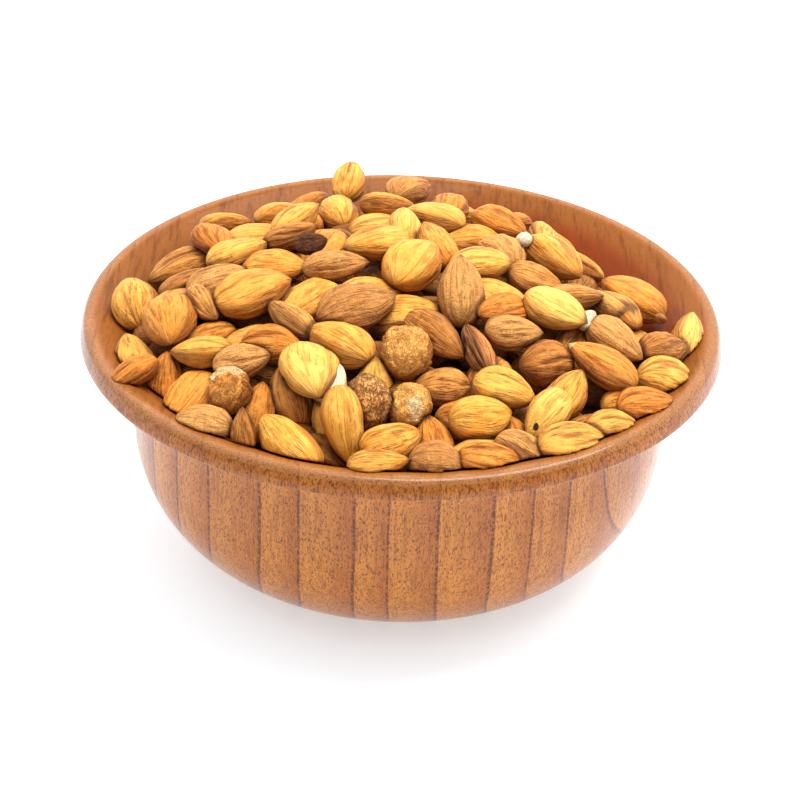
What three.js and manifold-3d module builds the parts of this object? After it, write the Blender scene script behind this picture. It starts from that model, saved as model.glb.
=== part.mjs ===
// A turned wooden bowl heaped with apricot kernels.
// Millimetres, +Z up, the origin under the middle of the foot.
import * as THREE from "three";
import { mergeVertices } from "three/addons/utils/BufferGeometryUtils.js";
import Module from "manifold-3d";

const wasm = await Module();
wasm.setup();

// Driving dimensions of the bowl.
const lipRadius = 75;
const bowlHeight = 58.5;
const footRadius = 39.8;
const cavityRadius = 57.8;
const floorHeight = 8;
const flareDepth = 11; // from the top of the rim to where the inside turns straight down
const turns = 56; // flat facets round the bowl

// Points of the bowl's profile, as radius and height over the table. The pulls bend the curve
// between two of the others.
const bellyPulls = [[57, 6], [63.6, 20]];
const bellyTop = [63.1, 36];
const wallFoot = [57.5, 30];
const floorPulls = [[56.8, 12], [44, 8]];
const floorEdge = [26, floorHeight];

// The same near the rim, as radius and height over the rim.
const underLipPulls = [[62.4, -10], [62.9, -6.5]];
const lipEdge = [74.1, -4.2];
const lipPulls = [[75.6, -3.4], [75.5, -0.3]];
const lipTop = [72.6, 0];
const flareTop = [70.6, -0.1];
const flarePulls = [[66.5, -2.2], [58.6, -7]];
const wallTop = [cavityRadius, -flareDepth];

// Driving dimensions of the heap.
const crownHeight = 16.5; // top of the heap above the rim
const crownCentre = new THREE.Vector2(-6, 4);
const wallDrop = 12; // how far the heap falls over a run of fallRun
const fallRun = 60;
const clearance = 0.35; // between the heap and the wood
const coreDepth = 5; // from the top of the heap to the plain core that the kernels are fused to
const coreRings = [68, 62, 50, 36, 20, 0]; // radii at which the core's top follows the heap
const heapFacets = 28; // round its hidden side
const contactSink = 0.9; // how deep a kernel presses into what it lies on
const leastRest = 0.6; // least height of the middle of a kernel over the wood under it
const proud = 0.5; // how far a kernel between the listed ones may stand out of the heap
const steepest = 4.9; // a kernel that would stand out further than this is left out
const fillRadius = 58; // how far out the middle of such a kernel may lie
const meanLength = 16;
const broadShare = 0.3; // of the kernels between the listed ones
const seed = 20;
const tries = 250; // random drops, of which the lowest one stays
const cell = 1; // step of the square grid that holds the height of the pile
const cellsAcross = 1000; // more than the grid has in a row
const kernelSides = 6;

// Dips in the heap, and one swell: where each one is, how deep and how wide.
const dips = [
  { x: 50, y: 38, depth: 12, reach: 8.5 },
  { x: 30, y: 56, depth: 6, reach: 10 },
  { x: 63, y: 20, depth: 6, reach: 9 },
  { x: -42, y: 50, depth: 4, reach: 12 },
  { x: -34, y: 58, depth: 5, reach: 11 },
  { x: 3, y: 64, depth: 7, reach: 9 },
  { x: 20, y: 62, depth: 5, reach: 9 },
  { x: 62, y: -22, depth: -4, reach: 16 },
];

// How wide and how thick each form of kernel is for its length.
const forms = {
  plain: { width: 0.64, thickness: 0.46 },
  slim: { width: 0.52, thickness: 0.4 },
  broad: { width: 0.76, thickness: 0.46 },
  round: { width: 0.9, thickness: 0.78 },
};

// The outline of a kernel, blunt end first, as radius and place along its half length.
const fullDrop = [[0, -1], [0.82, -0.64], [1.07, 0], [0.7, 0.6], [0, 1]];
const plainDrop = [[0, -1], [1, -0.4], [0.88, 0.4], [0, 1]];

// Kernels that show on top, lower ones first: x, y, heading of the tip, length, how far the tip
// points up, roll about the length, form, and how far it stands proud of the heap if it does.
// Angles are in degrees against the slope of the heap.
const shown = [
  [-62.5, -2, 100, 15, 25, 0, "broad"],
  [-59.5, -33.5, 205, 13, 0, 10, "plain"],
  [-59.5, -25.5, 100, 16.5, 20, 10, "plain"],
  [-53, -32.5, 80, 15, 30, 0, "plain"],
  [-51.5, -6, 10, 15, 0, 10, "plain"],
  [-50, 5, 20, 15.5, 0, -10, "plain"],
  [-46.5, -13, 300, 13, -10, 20, "slim"],
  [-42.5, -6, 20, 15, 0, 15, "plain"],
  [-52, -19.5, 280, 17.5, 0, 0, "broad", 1.5],
  [-45, -23, 200, 16, 0, 10, "plain"],
  [-44.5, -30, 170, 14.5, 0, 20, "plain"],
  [-42.5, -52.5, 160, 14.5, 0, 0, "plain"],
  [-38.5, 9, 25, 15.5, 0, 0, "plain"],
  [-31.5, 0, 350, 16, 0, 0, "broad"],
  [-36, 22, 15, 18, 0, 10, "plain"],
  [-20.5, 15, 70, 17.5, 10, 0, "broad"],
  [-18, 35, 100, 16, 15, 0, "plain"],
  [-13.5, 54, 80, 14, 40, 0, "plain", 2.5],
  [1, 50, 60, 15, 25, 0, "broad", 3.5],
  [-4, 26, 20, 16, 0, 0, "plain"],
  [9, 27, 150, 16, 0, 0, "plain"],
  [-25.5, -40, 100, 17.5, 15, 20, "plain"],
  [-30, -32, 340, 15, 0, 20, "plain"],
  [-35.5, -27, 205, 15.5, 0, 20, "plain"],
  [-29, -47, 80, 14, 25, 0, "plain"],
  [-15.5, -3.5, 10, 15.5, 0, 30, "slim"],
  [-9.5, -10.5, 10, 15.5, 0, 0, "plain"],
  [-7.5, 5, 200, 16, 0, 0, "broad", 1],
  [-25.5, -22.5, 128, 17, 0, 50, "slim"],
  [-34, -14, 20, 18.5, 0, 0, "broad", 1.5],
  [-21.5, -15, 222, 18.5, 0, 0, "plain", 1],
  [-46.5, -41.5, 235, 18.5, 5, 0, "broad", 1],
  [-16.5, -47.5, 100, 15, 40, 10, "plain"],
  [-7.5, -39.5, 85, 15, 45, 0, "plain"],
  [9.5, 8.5, 120, 15, 20, 0, "plain"],
  [14.5, 23, 200, 16.5, 0, 0, "broad"],
  [23, 30.5, 330, 15, 0, 20, "plain"],
  [24, -53, 110, 14, 20, 10, "plain"],
  [8, -55, 100, 15, 15, 0, "plain"],
  [13.5, -49, 10, 16, 0, 20, "plain"],
  [18.5, -35, 70, 12.5, 20, 0, "round"],
  [38, -37, 60, 14.5, 20, 0, "plain"],
  [45, -50, 20, 13.5, 0, 0, "plain"],
  [53.5, -41, 25, 15, 0, 0, "plain"],
  [43, -46, 35, 15.5, 0, 25, "slim"],
  [48.5, -1, 140, 15, 0, 0, "plain"],
  [42.5, -17, 60, 15, 15, 20, "plain"],
  [43, 25, 310, 15, 0, 0, "plain"],
  [53, -6, 290, 15, 10, 0, "plain"],
  [55.5, -10, 40, 16, 0, 0, "plain"],
  [59.5, -18.5, 40, 15, 0, 0, "plain"],
  [49.5, -17, 320, 16, 0, 10, "plain"],
  [-2.5, -67.5, 10, 13.5, 0, 0, "slim"],
  [10, -65, 0, 12, 10, 0, "round"],
  [18.5, -64, 10, 14, 0, 0, "plain"],
  [38, -55.5, 25, 16.5, 0, 0, "plain"],
  [3, -49.5, 80, 11.5, 10, 0, "round"],
  [-5.5, -50, 100, 12.5, 50, 0, "round", 2.5],
  [-18.5, -42, 285, 19, 10, -15, "broad", 2],
  [0.5, -3.5, 60, 17.5, 10, 0, "broad", 1.5],
  [3.5, -16, 10, 16, 5, 20, "plain"],
  [21.5, 13, 120, 13.5, 0, 0, "round", 1],
  [9.5, -28, 316, 17.5, 0, 50, "slim"],
  [19, -31, 112, 16.5, 0, 60, "slim"],
  [27, -24, 10, 13.5, 0, 30, "plain", 1],
  [9.5, -39, 200, 13, 0, 20, "round", 0.5],
  [34.5, -26.5, 200, 13, 0, 0, "round", 2.5],
  [24, -7, 345, 16.5, 0, 25, "plain", 1],
  [36, 13.5, 310, 18, 0, 0, "plain", 2],
  [54, 7, 160, 17, 0, 0, "broad", 1.5],
  [60.5, -24, 10, 14.5, 0, 0, "round"],
  [54, -33, 20, 16, 0, 15, "plain", 1],
  [66, -9.5, 92, 17, 30, 20, "slim", 0.5],
  [-12, -22.5, 29, 19.5, 0, 15, "plain", 2.5],
  [-36, -35, 5, 13, 0, 0, "broad"],
  [-39, -43.5, 260, 11.5, -10, 0, "round", 2.5],
  [-35, -55.5, 85, 11.5, 40, 0, "slim", 1.5],
  [-25, -58.5, 130, 20, 0, -25, "slim", 1],
  [-10, -55.5, 285, 18, -35, 0, "slim", 2],
  [-15.5, -33, 140, 18, 0, 20, "plain", 1],
  [-0.5, -61, 25, 14, 0, 0, "broad", 1],
  [-0.5, -35.5, 80, 13.5, 10, 0, "round", 2],
  [12, -14, 95, 18, 30, 0, "plain", 2.5],
  [35.5, -12.5, 332, 16, 0, 0, "broad", 2],
  [45.5, -31, 149, 18, 0, 20, "plain", 2],
  [23.5, -42.5, 346, 14.5, 0, 15, "plain", 1],
  [31, -50, 243, 14.5, -15, 0, "plain", 2.5],
  [16.5, -52.5, 20, 14.5, 0, 20, "broad", 1.5],
  [26.5, -60.5, 335, 15.5, 0, 0, "plain"],
  [14.5, -60, 43, 18.5, 0, 25, "plain", 2],
];

// A repeatable random draw between low and high.
function makeDraw(start) {
  let state = start;
  return function draw(low, high) {
    state = (Math.imul(state, 1664525) + 1013904223) >>> 0;
    return low + ((high - low) * state) / 4294967296;
  };
}

// A point whose height is given over the rim, as a point over the table.
const fromRim = ([radius, height]) => [radius, bowlHeight + height];

// A smooth curve from the first of four points to the last, pulled towards the two between.
function bend(points, steps) {
  const [start, first, second, end] = points.map((point) => new THREE.Vector2(...point));
  return new THREE.CubicBezierCurve(start, first, second, end).getPoints(steps);
}

// The outside, from the middle of the foot up the belly to the inner edge of the flat rim.
function outsideProfile() {
  const belly = bend([[footRadius, 0], ...bellyPulls, bellyTop], 6);
  const underLip = bend([bellyTop, ...underLipPulls.map(fromRim), fromRim(lipEdge)], 4);
  const lip = bend([lipEdge, ...lipPulls, lipTop].map(fromRim), 4);
  return [new THREE.Vector2(0, 0), ...belly, ...underLip.slice(1), ...lip.slice(1)];
}

// The inside, from the flat rim down the flare and the wall to the middle of the floor.
// Shrinking it keeps a gap to the wood all over.
function insideProfile(shrink, floorSteps) {
  const flare = bend([flareTop, ...flarePulls, wallTop].map(fromRim), 5);
  const bowlFloor = bend([wallFoot, ...floorPulls, floorEdge], floorSteps);
  const points = [...flare, ...bowlFloor, new THREE.Vector2(0, floorHeight)];
  return points.map((p) => new THREE.Vector2(Math.max(p.x - shrink, 0), p.y + shrink));
}

const woodInside = insideProfile(clearance, 3); // as far as the heap may come to the wood

// Turns a profile about Z.
function revolve(profile, facets) {
  return new THREE.LatheGeometry(profile, facets).rotateX(Math.PI / 2);
}

function asSolid(geometry) {
  const bare = geometry.clone();
  bare.deleteAttribute("normal");
  bare.deleteAttribute("uv");
  const welded = mergeVertices(bare, 1e-5);
  const mesh = new wasm.Mesh({
    numProp: 3,
    vertProperties: new Float32Array(welded.attributes.position.array),
    triVerts: new Uint32Array(welded.index.array),
  });
  return new wasm.Manifold(mesh);
}

function asGeometry(solid) {
  const mesh = solid.getMesh();
  const geometry = new THREE.BufferGeometry();
  geometry.setAttribute("position", new THREE.BufferAttribute(mesh.vertProperties, mesh.numProp));
  geometry.setIndex(new THREE.BufferAttribute(mesh.triVerts, 1));
  geometry.computeVertexNormals();
  return geometry;
}

// The top of the heap over a point: a low dome that falls towards the wall, less its dips.
function heapTop(x, y) {
  const away = (x - crownCentre.x) ** 2 + (y - crownCentre.y) ** 2;
  let top = bowlHeight + crownHeight - (wallDrop * away) / fallRun ** 2;
  for (const dip of dips) {
    const near = (x - dip.x) ** 2 + (y - dip.y) ** 2;
    top -= dip.depth * Math.exp(-near / (2 * dip.reach ** 2));
  }
  return top;
}

// The direction straight out of the heap over a point.
function heapNormal(x, y) {
  const step = 2;
  const slopeX = (heapTop(x + step, y) - heapTop(x - step, y)) / (2 * step);
  const slopeY = (heapTop(x, y + step) - heapTop(x, y - step)) / (2 * step);
  return new THREE.Vector3(-slopeX, -slopeY, 1).normalize();
}

// The plain core: a drum whose top lies a set depth under the top of the heap.
function coreGeometry() {
  const base = floorHeight / 2;
  const profile = [new THREE.Vector2(0, base), new THREE.Vector2(coreRings[0], base)];
  profile.push(...coreRings.map((radius) => new THREE.Vector2(radius, bowlHeight)));
  const geometry = revolve(profile, heapFacets);
  const place = geometry.attributes.position;
  for (let i = 0; i < place.count; i += 1) {
    const [x, y] = [place.getX(i), place.getY(i)];
    if (place.getZ(i) > base + 1) place.setZ(i, heapTop(x, y) - coreDepth);
  }
  return geometry;
}

// The space that the heap may take: the inside of the bowl, and above its rim.
function roomGeometry() {
  const outer = lipRadius + 5;
  const ceiling = bowlHeight + 60;
  const corners = [[outer, bowlHeight + clearance], [outer, ceiling], [0, ceiling]];
  const above = corners.map((corner) => new THREE.Vector2(...corner));
  return revolve([...woodInside.toReversed(), ...above], heapFacets);
}

// Height of the wood under a point, in straight lines between the points of its profile.
function woodHeight(x, y) {
  const radius = Math.hypot(x, y);
  const next = woodInside.findIndex((p) => p.x <= radius);
  if (next < 1) return bowlHeight;
  const [outer, inner] = [woodInside[next - 1], woodInside[next]];
  return inner.y + ((outer.y - inner.y) * (radius - inner.x)) / (outer.x - inner.x);
}

// One whole number that names a square of the grid.
const cellKey = (i, j) => i * cellsAcross + j;

// The height of what kernels can lie on, for each square of the grid: at first the wood and the core.
function emptyGround() {
  const ground = new Map();
  const last = Math.round(lipRadius / cell);
  for (let i = -last; i <= last; i += 1) {
    for (let j = -last; j <= last; j += 1) {
      const [x, y] = [i * cell, j * cell];
      const core = heapTop(x, y) - coreDepth;
      ground.set(cellKey(i, j), Math.max(core, woodHeight(x, y)));
    }
  }
  return ground;
}

// A kernel that lies along the slope of the heap, flush with its top plus its lift, but with its
// middle over the wood.
function makeKernel([x, y, heading, length, tipUp, roll, form, lift = 0]) {
  const rad = THREE.MathUtils.degToRad;
  const lie = new THREE.Quaternion().setFromUnitVectors(new THREE.Vector3(0, 0, 1), heapNormal(x, y));
  const own = new THREE.Euler(rad(roll), rad(-tipUp), rad(heading), "ZYX");
  const turn = new THREE.Matrix4().makeRotationFromQuaternion(lie);
  turn.multiply(new THREE.Matrix4().makeRotationFromEuler(own));
  const { width, thickness } = forms[form];
  const half = [length / 2, (length * width) / 2, (length * thickness) / 2];
  const upright = half.reduce((sum, size, k) => sum + (turn.elements[k * 4 + 2] / size) ** 2, 0);
  const flush = Math.max(heapTop(x, y) - 1 / Math.sqrt(upright), woodHeight(x, y) + leastRest);
  return { x, y, z: flush + lift, flush, half, turn };
}

// The squares under a kernel, each with how far the kernel's underside and top lie from its middle.
// Its outline is taken as an ellipsoid, whose height over a point solves a quadratic.
function footprint({ x, y, half, turn }) {
  const m = turn.elements;
  const across = (a, b) => half.reduce((sum, size, k) => sum + (m[k * 4 + a] * m[k * 4 + b]) / size ** 2, 0);
  const [xx, xy, yy] = [across(0, 0), across(0, 1), across(1, 1)];
  const [xz, yz, zz] = [across(0, 2), across(1, 2), across(2, 2)];
  const reach = Math.ceil(half[0] / cell);
  const [ci, cj] = [Math.round(x / cell), Math.round(y / cell)];
  const squares = [];
  for (let i = ci - reach; i <= ci + reach; i += 1) {
    for (let j = cj - reach; j <= cj + reach; j += 1) {
      const [dx, dy] = [i * cell - x, j * cell - y];
      const b = xz * dx + yz * dy;
      const c = xx * dx * dx + 2 * xy * dx * dy + yy * dy * dy - 1;
      const root = Math.sqrt(b * b - zz * c);
      if (root > 0) squares.push({ key: cellKey(i, j), under: (-b - root) / zz, over: (-b + root) / zz });
    }
  }
  return squares;
}

// Leaves a kernel where it lies: the ground now runs over it.
function leave(kernel, squares, ground) {
  for (const { key, over } of squares) {
    ground.set(key, Math.max(ground.get(key) ?? 0, kernel.z + over));
  }
}

// Drops a kernel of random size and turn at a random place: it stops a little below first touch.
function dropKernel(ground, draw) {
  const [radius, bearing] = [Math.sqrt(draw(0, 1)) * fillRadius, draw(0, 2 * Math.PI)];
  const [x, y] = [radius * Math.cos(bearing), radius * Math.sin(bearing)];
  const length = meanLength * draw(0.85, 1.1);
  const form = draw(0, 1) < broadShare ? "broad" : "plain";
  const kernel = makeKernel([x, y, draw(0, 360), length, draw(-25, 25), draw(-35, 35), form]);
  const squares = footprint(kernel);
  const touch = squares.map(({ key, under }) => (ground.get(key) ?? bowlHeight) - under);
  kernel.z = Math.max(...touch) - contactSink;
  return { kernel, squares, rise: kernel.z - kernel.flush };
}

// The listed kernels, then one after another the lowest of many random drops between them,
// until the next one would stand out too far.
function pileKernels() {
  const draw = makeDraw(seed);
  const ground = emptyGround();
  const kernels = shown.map(makeKernel);
  kernels.forEach((kernel) => leave(kernel, footprint(kernel), ground));
  for (;;) {
    const drops = Array.from({ length: tries }, () => dropKernel(ground, draw));
    const lowest = drops.reduce((a, b) => (b.rise < a.rise ? b : a));
    if (lowest.rise > steepest) return kernels;
    const { kernel, squares } = lowest;
    kernel.z = Math.min(kernel.z, kernel.flush + proud);
    leave(kernel, squares, ground);
    kernels.push(kernel);
  }
}

// One kernel of few sides: a drop turned about its length, then flattened, with a corner at each edge.
function kernelGeometry({ x, y, z, half, turn }, drop) {
  const profile = drop.map(([radius, along]) => new THREE.Vector2(radius, along));
  const geometry = new THREE.LatheGeometry(profile, kernelSides, Math.PI / 2).rotateZ(-Math.PI / 2);
  geometry.scale(...half);
  geometry.applyMatrix4(turn);
  return geometry.translate(x, y, z);
}

function buildBowl() {
  const profile = [...outsideProfile(), ...insideProfile(0, 5)];
  const wood = new THREE.MeshStandardMaterial({ color: 0xb0713c, roughness: 0.3, metalness: 0 });
  const mesh = new THREE.Mesh(revolve(profile, turns), wood);
  mesh.name = "bowl";
  return mesh;
}

// The heap: the core with every kernel fused on, kept clear of the wood. Its largest body is the
// whole of it, so scraps and sealed hollows are left behind.
function buildHeap() {
  let heap = asSolid(coreGeometry());
  pileKernels().forEach((kernel, index) => {
    const drop = index < shown.length ? fullDrop : plainDrop;
    heap = heap.add(asSolid(kernelGeometry(kernel, drop)));
  });
  const bodies = heap.intersect(asSolid(roomGeometry())).decompose();
  const whole = bodies.reduce((a, b) => (b.volume() > a.volume() ? b : a));
  const skin = new THREE.MeshStandardMaterial({ color: 0xd08a3c, roughness: 0.55, metalness: 0 });
  const mesh = new THREE.Mesh(asGeometry(whole), skin);
  mesh.name = "kernel_heap";
  return mesh;
}

const bowlOfKernels = new THREE.Group();
bowlOfKernels.add(buildBowl(), buildHeap());

export default bowlOfKernels;
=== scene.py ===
# A turned wooden bowl heaped with apricot kernels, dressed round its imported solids.
import math

import bpy
import numpy as np
from mathutils import Matrix


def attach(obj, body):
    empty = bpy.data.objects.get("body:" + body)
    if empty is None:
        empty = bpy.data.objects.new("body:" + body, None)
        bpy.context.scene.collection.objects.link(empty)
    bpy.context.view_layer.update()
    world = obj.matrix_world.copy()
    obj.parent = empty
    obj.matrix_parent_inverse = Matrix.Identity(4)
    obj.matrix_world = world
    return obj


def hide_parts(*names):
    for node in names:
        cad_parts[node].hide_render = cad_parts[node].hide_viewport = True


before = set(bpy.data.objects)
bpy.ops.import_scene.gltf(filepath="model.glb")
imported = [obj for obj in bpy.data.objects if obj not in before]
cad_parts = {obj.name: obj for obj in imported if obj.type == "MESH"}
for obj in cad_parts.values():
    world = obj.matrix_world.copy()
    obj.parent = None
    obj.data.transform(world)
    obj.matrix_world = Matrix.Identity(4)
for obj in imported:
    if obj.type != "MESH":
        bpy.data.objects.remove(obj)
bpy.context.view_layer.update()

# ---------------------------------------------------------------- sizes, in millimetres

METRES = 0.001

# The bowl, as in the part's own source: radius and height over the table.
BOWL_HEIGHT = 58.5
FOOT_RADIUS = 39.8
FLOOR_HEIGHT = 8
BELLY_PULLS = [(57, 6), (63.6, 20)]
BELLY_TOP = (63.1, 36)
WALL_FOOT = (57.5, 30)
FLOOR_PULLS = [(56.8, 12), (44, 8)]
FLOOR_EDGE = (26, FLOOR_HEIGHT)

# The same near the rim: radius and height over the rim.
UNDER_LIP_PULLS = [(62.4, -10), (62.9, -6.5)]
LIP_EDGE = (74.9, -4.3)
SIDE_PULLS = [(75.1, -3.9), (74.8, -2.8)]
LIP_SHOULDER = (74.4, -1.7)
LIP_PULLS = [(74.1, -0.7), (73.6, 0)]
LIP_TOP = (72.6, 0)
FLARE_TOP = (70.6, -0.1)
FLARE_PULLS = [(66.5, -2.2), (58.6, -7)]
WALL_TOP = (57.8, -11)

# The heap, as in the part's own source.
LIP_RADIUS = 75
CROWN_HEIGHT = 16.5
CROWN_CENTRE = (-6, 4)
WALL_DROP = 12
FALL_RUN = 60
CLEARANCE = 0.35
CORE_DEPTH = 5
CONTACT_SINK = 0.9
LEAST_REST = 0.6
PROUD = 0.5
STEEPEST = 4.9
FILL_RADIUS = 58
FILL_SEED = 20
MEAN_LENGTH = 16
BROAD_SHARE = 0.3
TRIES = 250
DIPS = [(50, 38, 12, 8.5), (30, 56, 6, 10), (63, 20, 6, 9), (-42, 50, 4, 12), (-34, 58, 5, 11),
        (3, 64, 7, 9), (20, 62, 5, 9), (62, -22, -4, 16)]

# How kernels that pass through each other move apart: rounds, how far its neighbours may push one
# along x, y and z, the share of the last that it may rise, how much of an overlap it gives way in
# one round, how many spots are tried on it, and how far off a neighbour may be.
SETTLE_ROUNDS = 40
SETTLE_REACH = np.array([1.8, 1.8, 3.0])
SETTLE_RISE = 0.2
GIVE_WAY = 0.2
TRIAL_SPOTS = 80
PUSH_WITHIN = 19

# How far the painted shade of a crease reaches, and how far off a neighbour may be.
CREASE_SHADE_REACH = 0.6
CREASE_SHADE_WITHIN = 20

# The lower layer, which shows through the gaps, and the ground under it, both dark with painted
# shade. The layer comes up towards the back between two values of y.
LOWER_DEPTH = 6.2
LOWER_BACK_RISE = 2.8
LOWER_BACK = (25, 40)
LOWER_COUNT = 130
LOWER_TRIES = 60
LOWER_SEED = 7
LOWER_SKIN_SEED = 99
DEEP_DEPTH = 13
DEEP_RADIUS = 57
DEEP_WALL = (4, 46)  # height of the drum's wall: its foot over the floor, its top over the table

# Steps along and round each mesh, and the relief of a kernel's skin: the number of grooves, the
# number of wrinkles round it, and the cells of its broad and fine dents.
BOWL_AROUND = 224
KERNEL_STEPS = (40, 64)
LOWER_STEPS = (20, 32)
DEEP_STEPS = (30, 120)
GROOVES = 10
WRINKLES = 13
BROAD_CELL = 4.5
FINE_CELL = 1.7

# Width and thickness of each form of kernel for its length, and how pointed its tip is.
FORMS = {
    "plain": (0.64, 0.46, 0.72),
    "slim": (0.52, 0.4, 0.74),
    "broad": (0.76, 0.46, 0.66),
    "round": (0.9, 0.78, 0.54),
}

# Kernels that show on top, nearly as in the part's own source, lower ones first: x, y, heading of
# the tip, length, how far the tip points up, roll about the length, form, how far it stands proud
# of the heap, and its finish.
SHOWN = [
    (-62.5, -2, 100, 15, 25, 0, "broad", 0, "orange"),
    (-59.5, -33.5, 205, 13, 0, 10, "plain", 0, "orange"),
    (-59.5, -25.5, 100, 16.5, 20, 10, "plain", 0, "orange"),
    (-53, -32.5, 80, 15, 30, 0, "plain", 0, "orange"),
    (-51.5, -6, 10, 15, 0, 10, "plain", 0, "brown"),
    (-50, 5, 20, 15.5, 0, -10, "plain", 0, "brown"),
    (-46.5, -13, 300, 13, -10, 20, "slim", 0, "brown"),
    (-42.5, -6, 20, 15, 0, 15, "plain", 0, "dusty"),
    (-52, -19.5, 280, 17.5, 0, 0, "broad", 1.5, "golden"),
    (-45, -23, 200, 16, 0, 10, "plain", 0, "golden"),
    (-44.5, -30, 170, 14.5, 0, 20, "plain", 0, "golden"),
    (-42.5, -52.5, 160, 14.5, 0, 0, "plain", 0, "dusty"),
    (-38.5, 9, 25, 15.5, 0, 0, "plain", 0, "golden"),
    (-31.5, 0, 350, 16, 0, 0, "broad", 0, "golden"),
    (-36, 22, 15, 18, 0, 10, "plain", 0, "yellow"),
    (-20.5, 15, 70, 17.5, 10, 0, "broad", 0, "golden"),
    (-18, 35, 100, 16, 15, 0, "plain", 0, "golden"),
    (-14, 54, 80, 14, 40, 0, "plain", 4.3, "golden"),
    (1, 50, 60, 15, 25, 0, "broad", 3.5, "dusty"),
    (-4, 26, 20, 16, 0, 0, "plain", 0, "golden"),
    (9, 27, 150, 16, 0, 0, "plain", 0, "golden"),
    (-25.5, -40, 100, 17.5, 15, 20, "plain", 0, "brown"),
    (-30, -32, 340, 15, 0, 20, "plain", 0, "orange"),
    (-35.5, -27, 205, 15.5, 0, 20, "plain", 0, "orange"),
    (-29, -47, 80, 14, 25, 0, "plain", 0, "orange"),
    (-15.5, -3.5, 10, 15.5, 0, 30, "slim", 0, "dusty"),
    (-9.5, -10.5, 10, 15.5, 0, 0, "plain", 0, "orange"),
    (-7.5, 5, 200, 16, 0, 0, "broad", 1, "golden"),
    (-25.5, -22.5, 128, 17, 0, 50, "slim", 0, "brown"),
    (-34, -14, 20, 18.5, 0, 0, "broad", 1.5, "golden"),
    (-21.5, -15, 222, 18.5, 0, 0, "plain", 1, "golden"),
    (-46.5, -41.5, 235, 18.5, 5, 0, "broad", 1, "golden"),
    (-16.5, -47.5, 100, 15, 40, 10, "plain", 0, "yellow"),
    (-7.5, -39.5, 85, 15, 45, 0, "plain", 0, "yellow"),
    (9.5, 8.5, 120, 15, 20, 0, "plain", 0, "orange"),
    (14.5, 23, 200, 16.5, 0, 0, "broad", 0, "golden"),
    (23, 30.5, 330, 15, 0, 20, "plain", 0, "golden"),
    (24, -53, 110, 14, 20, 10, "plain", 0, "orange"),
    (8, -55, 100, 15, 15, 0, "plain", 0, "orange"),
    (13.5, -49, 10, 16, 0, 20, "plain", 0, "orange"),
    (18.5, -35, 70, 12.5, 20, 0, "round", 0, "brown"),
    (38, -37, 60, 14.5, 20, 0, "plain", 0, "orange"),
    (45, -50, 20, 13.5, 0, 0, "plain", 0, "orange"),
    (53.5, -41, 25, 15, 0, 0, "plain", 0, "orange"),
    (43, -46, 35, 15.5, 0, 25, "slim", 0, "brown"),
    (48.5, -1, 140, 15, 0, 0, "plain", 0, "brown"),
    (42.5, -17, 60, 15, 15, 20, "plain", 0, "brown"),
    (43, 25, 310, 15, 0, 0, "plain", 0, "orange"),
    (53, -6, 290, 15, 10, 0, "plain", 0, "golden"),
    (55.5, -10, 40, 16, 0, 0, "plain", 0, "golden"),
    (59.5, -18.5, 40, 15, 0, 0, "plain", 0, "brown"),
    (49.5, -17, 320, 16, 0, 10, "plain", 0, "dusty"),
    (-2.5, -67.5, 10, 13.5, 0, 0, "slim", 0, "orange"),
    (10, -65, 0, 12, 10, 0, "round", 0, "dusty"),
    (18.5, -64, 10, 14, 0, 0, "plain", 0, "orange"),
    (38, -55.5, 25, 16.5, 0, 0, "plain", 0, "orange"),
    (3, -49.5, 80, 11.5, 10, 0, "round", 0, "knobby"),
    (-5.5, -50, 100, 12.5, 50, 0, "round", 2.5, "scaly"),
    (-18.5, -42, 285, 19, 10, -15, "broad", 2, "yellow"),
    (0.5, -3.5, 60, 17.5, 10, 0, "broad", 1.5, "yellow"),
    (3.5, -16, 10, 16, 5, 20, "plain", 0, "yellow"),
    (21.5, 13, 120, 13.5, 0, 0, "round", 1, "dusty"),
    (9.5, -28, 316, 17.5, 0, 50, "slim", 0, "brown"),
    (19, -31, 112, 16.5, 0, 60, "slim", 0, "ridged"),
    (27, -24, 10, 13.5, 0, 30, "plain", 1, "dusty"),
    (9.5, -39, 200, 13, 0, 20, "round", 0.5, "brown"),
    (34.5, -26.5, 200, 13, 0, 0, "round", 2.5, "brown"),
    (24, -7, 345, 16.5, 0, 25, "plain", 1, "golden"),
    (36, 13.5, 310, 18, 0, 0, "plain", 2, "golden"),
    (54.5, 7, 160, 17, 0, -22, "broad", 2, "golden"),
    (60.5, -24, 10, 14.5, 0, 0, "round", 0, "golden"),
    (54, -33, 20, 16, 0, 15, "plain", 1, "orange"),
    (66, -9.5, 92, 17, 30, 20, "slim", 0.5, "yellow"),
    (-12, -22.5, 29, 19.5, 0, 15, "plain", 2.5, "dusty"),
    (-36, -35, 5, 13, 0, 0, "broad", 0, "dusty"),
    (-39, -43.5, 260, 11.5, -10, 0, "round", 2.5, "knobby"),
    (-35, -55.5, 85, 11.5, 40, 0, "slim", 1.5, "brown"),
    (-25, -58.5, 130, 20, 0, -25, "slim", 1, "yellow"),
    (-10, -55.5, 285, 18, -35, 0, "slim", 2, "yellow"),
    (-15.5, -33, 140, 18, 0, 20, "plain", 1, "golden"),
    (-0.5, -61, 25, 14, 0, 0, "broad", 1, "golden"),
    (-0.5, -35.5, 80, 13.5, 10, 0, "round", 2, "knobby"),
    (12, -14, 95, 18, 30, 0, "plain", 2.5, "dusty"),
    (35.5, -12.5, 332, 16, 0, 0, "broad", 2, "yellow"),
    (45.5, -31, 149, 18, 0, 20, "plain", 2, "orange"),
    (23.5, -42.5, 346, 14.5, 0, 15, "plain", 1, "golden"),
    (31, -50, 243, 14.5, -15, 0, "plain", 2.5, "yellow"),
    (16.5, -52.5, 20, 14.5, 0, 20, "broad", 1.5, "yellow"),
    (26.5, -60.5, 335, 15.5, 0, 0, "plain", 0, "dusty"),
    (14.5, -60, 43, 18.5, 0, 25, "plain", 2, "yellow"),
]

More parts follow.
